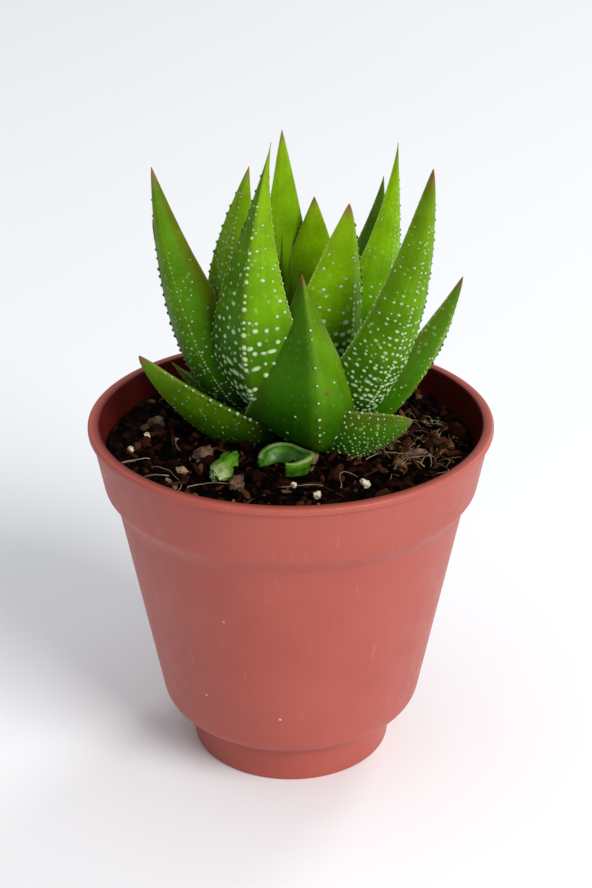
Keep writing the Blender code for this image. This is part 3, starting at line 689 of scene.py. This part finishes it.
def leaf_skin():
    """Waxy leaf skin: green with painted shade towards the base, yellow-green blade, red-brown point and
    margins, white tubercles.
    """
    finish, tree, shader, place = new_finish("leaf_skin")
    value = {}
    for row, key in enumerate(LEAF_VALUES):
        value[key] = node(tree, "Attribute", (-2200, 600 - 220 * row), attribute_name=key).outputs["Fac"]
    edge = node(tree, "Math", (-1900, 150), operation="ABSOLUTE")
    tree.links.new(value["across"], edge.inputs[0])
    edge = edge.outputs[0]
    # Both greens darken towards the base: painted shade, where the leaves crowd round the stem.
    cool = ramp(tree, (-1500, 800), value["along"], [
        (0.0, (0.003, 0.022, 0.0005)), (0.27, (0.006, 0.055, 0.0005)), (0.55, (0.024, 0.122, 0.0005)),
        (0.88, (0.044, 0.138, 0.004)), (1.0, (0.06, 0.13, 0.012))])
    yellow = ramp(tree, (-1500, 550), value["along"], [
        (0.0, (0.005, 0.025, 0.0005)), (0.28, (0.011, 0.066, 0.0005)), (0.47, (0.058, 0.180, 0.0005)),
        (0.62, (0.135, 0.310, 0.0005)),
        (0.88, (0.185, 0.350, 0.001)), (1.0, (0.21, 0.30, 0.006))])
    # How far each leaf goes toward the brighter yellow green is partly its own hue and partly painted
    # light.
    colour = blend_colours(tree, (-1150, 700), value["warm_and_painted_light"], cool, yellow)
    mottle = ramp(tree, (-1150, 400), grain(tree, (-1400, 300), place, 260, 3), [(0.3, 0.74), (0.7, 1.10)])
    colour = blend_colours(tree, (-950, 650), 1.0, colour, mottle, "MULTIPLY")
    dashes = leaf_noise(tree, (-1400, 50), value, 120.0, 4.0)
    cross_bands = ramp(tree, (-1150, 50), dashes, [(0.35, 0.93), (0.65, 1.04)])
    colour = blend_colours(tree, (-800, 600), 1.0, colour, cross_bands, "MULTIPLY")
    lines = leaf_noise(tree, (-1400, -60), value, 2.0, 9.0)
    streaks = ramp(tree, (-1150, -60), lines, [(0.35, 0.94), (0.65, 1.05)])
    colour = blend_colours(tree, (-700, 600), 1.0, colour, streaks, "MULTIPLY")
    ridge = node(tree, "Math", (-1150, -180), operation="MULTIPLY", inputs={1: 0.40})
    tree.links.new(value["keel"], ridge.inputs[0])
    colour = blend_colours(tree, (-600, 550), ridge.outputs[0], colour, (0.20, 0.32, 0.02, 1))
    rim = ramp(tree, (-1150, -350), edge, [(0.94, 0.0), (1.0, 0.6)])
    colour = blend_colours(tree, (-450, 500), rim, colour, (0.22, 0.34, 0.07, 1))
    flank = ramp(tree, (-1150, -550), edge, [(0.55, 0.0), (0.97, 0.75)])
    flush = node(tree, "Math", (-850, -500), operation="MULTIPLY")
    tree.links.new(flank, flush.inputs[0])
    tree.links.new(value["blush"], flush.inputs[1])
    colour = blend_colours(tree, (-300, 450), flush.outputs[0], colour, (0.105, 0.050, 0.004, 1))
    tip = ramp(tree, (-1150, -750), value["along"], [(0.955, 0.0), (0.995, 1.0)])
    colour = blend_colours(tree, (-150, 400), tip, colour, (0.20, 0.075, 0.045, 1))
    cells = node(tree, "TexVoronoi", (-1700, -950), inputs={"Scale": 850.0, "Randomness": 0.9})
    tree.links.new(place, cells.inputs["Vector"])
    spots = ramp(tree, (-1450, -950), cells.outputs["Distance"], [(0.12, 0.6), (0.26, 0.0)])
    speckled = node(tree, "Math", (-1150, -950), operation="MULTIPLY")
    tree.links.new(spots, speckled.inputs[0])
    tree.links.new(value["speckle"], speckled.inputs[1])
    colour = blend_colours(tree, (-80, 380), speckled.outputs[0], colour, (0.30, 0.48, 0.13, 1))
    colour = blend_colours(tree, (0, 350), value["tubercle"], colour, (0.45, 0.66, 0.30, 1))
    shader.location = (400, 300)
    tree.links.new(colour, shader.inputs["Base Color"])
    gloss = ramp(tree, (-150, 100), value["tubercle"], [(0.0, 0.50), (1.0, 0.36)])
    tree.links.new(gloss, shader.inputs["Roughness"])
    shader.inputs["Specular IOR Level"].default_value = 0.06
    shader.inputs["Subsurface Weight"].default_value = 0.35
    shader.inputs["Subsurface Radius"].default_value = (0.6, 1.0, 0.05)
    shader.inputs["Subsurface Scale"].default_value = 0.0014
    pores = bump(tree, (-100, -300), grain(tree, (-500, -300), place, 2600, 3), 0.00006, 0.6)
    swell = bump(tree, (50, -300), dashes, 0.00008, 0.5, pores)
    grains = bump(tree, (200, -300), speckled.outputs[0], 0.00012, 0.8, swell)
    tree.links.new(grains, shader.inputs["Normal"])
    return finish


def add_tubercles(leaf, skin, draw):
    """Tubercles of one leaf: cross rows on the outer face, the keel row, margin teeth, a few inside."""
    size, spacing, left_fill, right_fill, covered, left_tooth, right_tooth = skin[:7]
    keel_off, keel_sharp, warm_and_painted_light, painted_light_lean, blush = skin[7:]
    length = (midrib(leaf, 1.0)[0] - midrib(leaf, 0.0)[0]).length / MM * 1.05
    points, faces, heights = dome_shape
    copies = []

    def raise_one(along, across, outer, radius, stretch, height, sideways=0.0, scar=False):
        """Copy the dome to a place on the skin; sideways leans it out over the margin, a scar is brown."""
        here, round_it, ahead, off = skin_frame(leaf, (keel_off, keel_sharp), along, across, outer)
        if sideways:
            off = (off + round_it * math.copysign(sideways, across)).normalized()
            round_it = ahead.cross(off).normalized()
        turned = Matrix.Rotation(draw.gauss(0, 0.18), 3, off)
        round_it = turned @ round_it
        axes = np.array([round_it * radius * stretch, off.cross(round_it) * radius, off * radius * height])
        placed = points @ axes + np.array(here - off * 0.06 * radius)
        copies.append((placed, faces, {
            "along": 1.0 if scar else min(along, 0.9), "warm_and_painted_light": warm_and_painted_light + painted_light_lean * across, "across": 0.0,
            "tubercle": 0.0 if scar else heights, "keel": 0.0, "blush": blush, "speckle": 0.0}))

    rows = int(length * covered / spacing)
    for row in range(rows + 1):
        row_along = 0.07 + (covered - 0.07) * row / rows
        fade = max(0.4, 1 - 0.6 * (row_along / covered) ** 2)
        half = leaf[5] / 2 * blade_width(row_along, leaf[7])
        count = max(2, round(2.25 * half / (spacing * 0.78)))
        shift = draw.uniform(-0.5, 0.5)
        for number in range(count):
            across = (number + 0.5 + 0.5 * shift + draw.uniform(-0.2, 0.2)) / count * 1.9 - 0.95
            full = left_fill if across < keel_off else right_fill
            near_top = row_along / covered > 0.7 and draw.random() < 0.35
            if draw.random() > full or abs(across) > 0.93 or abs(across - keel_off) < 0.06 or near_top:
                continue
            along = row_along + (draw.uniform(-0.3, 0.3) + 0.25 * abs(across)) * spacing / length
            radius = size / 2 * fade * draw.uniform(0.6, 1.15) * (1 - 0.25 * across * across) * MM
            merged = row_along < 0.5 and draw.random() < 0.24
            stretch = draw.uniform(1.4, 2.3) if merged else draw.uniform(0.95, 1.4)
            raise_one(min(along, 0.93), across, True, radius, stretch, draw.uniform(0.45, 0.7))
        for half_row in (0.0, 0.5):
            if draw.random() < max(left_fill, right_fill, 0.55) - 0.3 * half_row:
                low = row_along < 0.42 and size > 0.5 and half_row == 0
                keel_size = (size * 0.5 + 0.03) * fade * draw.uniform(0.7, 1.05)
                radius = keel_size * (1 - 0.6 * half_row) * MM
                stretch = draw.uniform(1.3, 2.1) if low else draw.uniform(0.9, 1.2)
                along = min(row_along + half_row * spacing / length, 0.93)
                raise_one(along, keel_off, True, radius, stretch, 0.6)
        for across in (-0.6, -0.2, 0.25, 0.65):
            if draw.random() < 0.22:
                raise_one(min(row_along, 0.9), across + draw.uniform(-0.1, 0.1), False,
                          size * 0.26 * fade * draw.uniform(0.6, 1.0) * MM, 1.0, 0.6)
    for across, tooth_size in ((-0.985, left_tooth), (0.985, right_tooth)):
        teeth = int(length / (0.55 + 1.1 * tooth_size))
        for tooth in range(teeth):
            along = 0.08 + 0.87 * (tooth + draw.uniform(-0.25, 0.25)) / teeth
            radius = tooth_size / 2 * draw.uniform(0.75, 1.2) * max(0.45, 1 - 0.6 * along ** 2) * MM
            raise_one(along, across, True, radius, 1.0, 1.25, 1.3)
    if leaf is LEAVES[SCARRED_LEAF]:
        raise_one(0.60, 0.42, True, 0.24 * MM, 1.3, 0.25, scar=True)
    return copies


blank = leaf_blank()
blank_points = [(math.atan2(vertex.co.y, vertex.co.x), vertex.co.z) for vertex in blank.data.vertices]
blank_faces = [tuple(face.vertices) for face in blank.data.polygons]
bpy.data.objects.remove(blank)
dome_shape = dome()
leaf_finish = leaf_skin()
for number, (name, leaf) in enumerate(LEAVES.items()):
    skin = SKINS[name]
    keel_off, keel_sharp, warm_and_painted_light, painted_light_lean, blush = skin[7:]
    shaped, along_values, across_values, keel_values, right_of_keel = [], [], [], [], []
    for angle, height in blank_points:
        along = height ** 0.85 * 0.998
        across = math.cos(angle)
        outer = math.sin(angle) >= 0
        shaped.append(on_leaf(leaf, (keel_off, keel_sharp), along, across, outer))
        along_values.append(along)
        across_values.append(across)
        off = across - keel_off * (1 - across * across)
        keel_values.append(keel_sharp * math.exp(-(off / 0.10) ** 2) if outer else 0.0)
        right_of_keel.append(math.tanh(off / 0.12))
    right, height_up = np.array(right_of_keel), np.array(along_values)
    fill = skin[2] + (skin[3] - skin[2]) * (right + 1) / 2
    # Right of the keel the green is yellower and brighter: painted light, from the side the key lamp is on.
    body = (np.array(shaped), blank_faces, {
        "along": height_up, "warm_and_painted_light": warm_and_painted_light + painted_light_lean * right, "across": np.array(across_values), "tubercle": 0.0,
        "keel": np.array(keel_values), "blush": blush,
        "speckle": fill * np.clip((skin[4] + 0.1 - height_up) * 5, 0, 1)})
    bumps = add_tubercles(leaf, skin, random.Random(100 + number))
    made = gather("haworthia_" + name, [body] + bumps, LEAF_VALUES)
    keep_smooth(made, 50)
    stand_for(made, leaf_finish, "leaf_skin", name)

# ---------------------------------------------------------------------------------------------------------
# Leaf scraps. A withered leaf has rolled up into a hook in front of the plant, and the stub of a cut leaf
# stands in the soil to its left. Both are still green, paler and drier along their edges.


def scrap_skin():
    """Old leaf tissue: patchy green with yellow and pale dry streaks."""
    finish, tree, shader, place = new_finish("scrap_skin")
    patches = grain(tree, (-1300, 200), place, 420, 4, 0.6)
    colour = ramp(tree, (-1000, 200), patches, [
        (0.30, (0.010, 0.050, 0.001)), (0.50, (0.032, 0.130, 0.002)), (0.64, (0.090, 0.230, 0.006)),
        (0.80, (0.28, 0.36, 0.10))])
    dry = node(tree, "Attribute", (-1000, 500), attribute_name="dry").outputs["Fac"]
    pale = ramp(tree, (-1000, 750), patches, [(0.35, (0.08, 0.14, 0.025)), (0.65, (0.27, 0.31, 0.11))])
    colour = blend_colours(tree, (-600, 350), dry, colour, pale)
    wrinkles = bump(tree, (-600, -200), grain(tree, (-1000, -200), place, 900, 4), 0.0003, 0.8)
    dress(tree, shader, colour, 0.45, wrinkles)
    shader.inputs["Subsurface Weight"].default_value = 0.15
    shader.inputs["Subsurface Scale"].default_value = 0.001
    return finish


scrap_finish = scrap_skin()
curl_low, curl_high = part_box("curled_leaf_scrap")
curl_centre = (curl_low + curl_high) / 2
bpy.ops.object.select_all(action="DESELECT")
bpy.ops.mesh.primitive_grid_add(x_subdivisions=56, y_subdivisions=10, size=1)
curl = bpy.context.object
curl.name = "rolled_leaf"
lip = curl.data.attributes.new("dry", "FLOAT", "POINT")
for vertex, dry in zip(curl.data.vertices, lip.data):
    dry.value = min(max(6 * vertex.co.y - 2.3, 0), 0.6)
    share = vertex.co.x + 0.5
    height = vertex.co.y * (1.1 + 1.9 * math.sin(math.pi * (0.1 + 0.8 * share)) ** 0.8) * MM
    turn = math.radians(172 - 262 * share)
    radius = (3.3 - 0.8 * share ** 1.5 + 0.25 * math.sin(11 * share)) * MM
    crumple = 0.5 * MM * noise.noise(Vector((4 * share, 900 * height, 1.7)))
    reach = radius + 0.35 * height + crumple
    vertex.co = curl_centre + Vector((reach * math.cos(turn) - 0.5 * MM, 0.84 * reach * math.sin(turn),
                                      height - 0.5 * MM + crumple))
select_only(curl)
bpy.ops.object.mode_set(mode="EDIT")
bpy.ops.mesh.select_all(action="SELECT")
bpy.ops.mesh.normals_make_consistent(inside=False)
bpy.ops.object.mode_set(mode="OBJECT")
wall = curl.modifiers.new("wall", "SOLIDIFY")
wall.thickness = 0.7 * MM
wall.offset = 0
bpy.ops.object.modifier_apply(modifier=wall.name)
soft = curl.modifiers.new("soft", "SUBSURF")
soft.levels = 1
soft.render_levels = 1
bpy.ops.object.modifier_apply(modifier=soft.name)
keep_smooth(curl, 60)
stand_for(curl, scrap_finish, "leaf_scrap", "curled_leaf_scrap")


def weathered_block(name, node_name, size, turn, waste, seed, waist=0.0):
    """A worn slab, its size in mm and its turn in degrees, that lies where the CAD piece lies."""
    low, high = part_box(node_name)
    bpy.ops.object.select_all(action="DESELECT")
    bpy.ops.mesh.primitive_cube_add(size=1)
    made = bpy.context.object
    made.name = name
    bpy.ops.object.mode_set(mode="EDIT")
    bpy.ops.mesh.select_all(action="SELECT")
    bpy.ops.mesh.subdivide(number_cuts=11, smoothness=0.35)
    bpy.ops.object.mode_set(mode="OBJECT")
    cut_end = made.data.attributes.new("dry", "FLOAT", "POINT")
    for vertex, dry in zip(made.data.vertices, cut_end.data):
        dry.value = min(max(-0.25 - 2.2 * vertex.co.y, 0), 0.8)
        wear = noise.noise(vertex.co * 1.6 + Vector((seed, 0, 0))) + 0.5 * noise.noise(vertex.co * 5)
        waisted = 1 - waist * math.exp(-((vertex.co.y - 0.08) / 0.16) ** 2)
        narrow = waisted - 0.35 * abs(2 * vertex.co.y) ** 3
        thin = 1 - 0.3 * abs(2 * vertex.co.x)
        spot = Vector((vertex.co.x * narrow, vertex.co.y, vertex.co.z * thin)) * 0.86
        spot *= 1 + waste * wear
        vertex.co = Vector((spot.x * size[0], spot.y * size[1], spot.z * size[2])) * MM
    made.rotation_euler.z = math.radians(turn)
    made.location = (low + high) / 2
    bpy.ops.object.transform_apply(location=True, rotation=True, scale=True)
    return made


stub = weathered_block("cut_leaf_stub", "cut_leaf_scrap", (2.8, 5.8, 2.2), -22, 0.35, 3, 0.35)
keep_smooth(stub, 60)
stand_for(stub, scrap_finish, "leaf_scrap", "cut_leaf_scrap")

# ---------------------------------------------------------------------------------------------------------
# Bark and perlite. Flakes of composted bark and grains of expanded white mineral, mixed into the soil; the
# larger ones have worked up to the top and lie loose on it.


def bark_skin():
    """Split bark: brown with darker grain lines along the flake."""
    finish, tree, shader, place = new_finish("bark_skin")
    lines = grain(tree, (-1300, 200), place, 900, 4, 0.6, (1, 0.25, 1))
    colour = ramp(tree, (-1000, 200), lines, [
        (0.32, (0.022, 0.009, 0.005)), (0.52, (0.085, 0.035, 0.017)), (0.75, (0.22, 0.13, 0.065))])
    dress(tree, shader, colour, 0.8, bump(tree, (-600, -200), lines, 0.0003, 0.9))
    return finish


def perlite_skin():
    """Chalky mineral: off-white with pores and a little soil rubbed in."""
    finish, tree, shader, place = new_finish("perlite_skin")
    dirt = grain(tree, (-1300, 200), place, 1500, 4, 0.6)
    colour = ramp(tree, (-1000, 200), dirt, [(0.3, (0.28, 0.19, 0.10)), (0.5, (0.58, 0.49, 0.35)),
                                            (0.7, (0.74, 0.68, 0.55))])
    dress(tree, shader, colour, 0.85, bump(tree, (-600, -200), dirt, 0.0003, 0.9))
    return finish


bark_finish = bark_skin()
# Width, length and thickness of each flake in mm, and its turn in degrees.
BARK_SIZES = [((1.9, 3.3, 1.1), -28), ((1.8, 3.0, 1.5), -10), ((1.2, 3.6, 1.0), 118), ((1.7, 2.9, 1.2), 20)]
for number, (size, turn) in enumerate(BARK_SIZES, 1):
    flake = weathered_block(f"bark_flake_{number}", f"bark_chip_{number}", size, turn, 0.5, number * 3.7)
    keep_smooth(flake, 40)
    stand_for(flake, bark_finish, "bark", f"bark_chip_{number}")

perlite_finish = perlite_skin()
for number in range(1, 7):
    low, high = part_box(f"perlite_grain_{number}")
    points, faces = broken_lump("grain", 3, 0.55, 20 + number)
    size = (high - low) / 2
    placed = points / np.abs(points).max(0) * np.array(size) * 0.98 + np.array((low + high) / 2)
    mineral = gather(f"perlite_{number}", [(placed, faces, {})], [])
    keep_smooth(mineral, 22)
    stand_for(mineral, perlite_finish, "perlite", f"perlite_grain_{number}")

# ---------------------------------------------------------------------------------------------------------
# Studio. A pale seamless floor and three soft lights that stand free of the object: the key from the right
# and in front, one on the floor behind the object, and a weak one overhead.
bpy.ops.object.select_all(action="DESELECT")
bpy.ops.mesh.primitive_circle_add(vertices=96, radius=4, fill_type="NGON", location=(0, 0, 0))
floor = bpy.context.object
floor.name = "studio_floor"
paper, tree, shader, place = new_finish("studio_paper")
tint = ramp(tree, (-900, 200), grain(tree, (-1200, 200), place, 3, 2), [(0.3, (0.82, 0.83, 0.85)),
                                                                     (0.7, (0.84, 0.85, 0.86))])
dress(tree, shader, tint, 0.9)
floor.data.materials.append(paper)

world = bpy.data.worlds.new("studio")
world.use_nodes = True
world.node_tree.nodes["Background"].inputs["Color"].default_value = (0.93, 0.96, 1.0, 1)
world.node_tree.nodes["Background"].inputs["Strength"].default_value = 0.46
bpy.context.scene.world = world


def soft_light(name, place, aim, width, power, colour):
    """A square soft box pointed at a spot."""
    lamp = bpy.data.lights.new(name, "AREA")
    lamp.size = width
    lamp.energy = power
    lamp.color = colour
    box = bpy.data.objects.new(name, lamp)
    box.location = place
    box.rotation_euler = (Vector(aim) - Vector(place)).to_track_quat("-Z", "Y").to_euler()
    bpy.context.scene.collection.objects.link(box)


soft_light("window_right", (0.765, -0.758, 0.767), (0, 0, 0.04), 0.7, 17.5, (1.0, 0.995, 0.98))
soft_light("backdrop_right", (0.95, 1.3, 0.9), (0.15, 0.55, 0), 0.6, 9.5, (1.0, 1.0, 1.0))
soft_light("ceiling", (-0.1, 0, 1.2), (-0.1, 0, 0), 1.0, 2.0, (0.97, 0.98, 1.0))

camera_data = bpy.data.cameras.new("front")
camera_data.sensor_width = 36
camera_data.lens = 73
camera_data.clip_start = 0.005
camera = bpy.data.objects.new("front", camera_data)
camera.location = (0.0007, -0.2219, 0.1531)
camera.rotation_euler = (math.radians(90 - 25.81), 0, 0)
bpy.context.scene.collection.objects.link(camera)
bpy.context.scene.camera = camera
bpy.context.scene.view_settings.view_transform = "Standard"
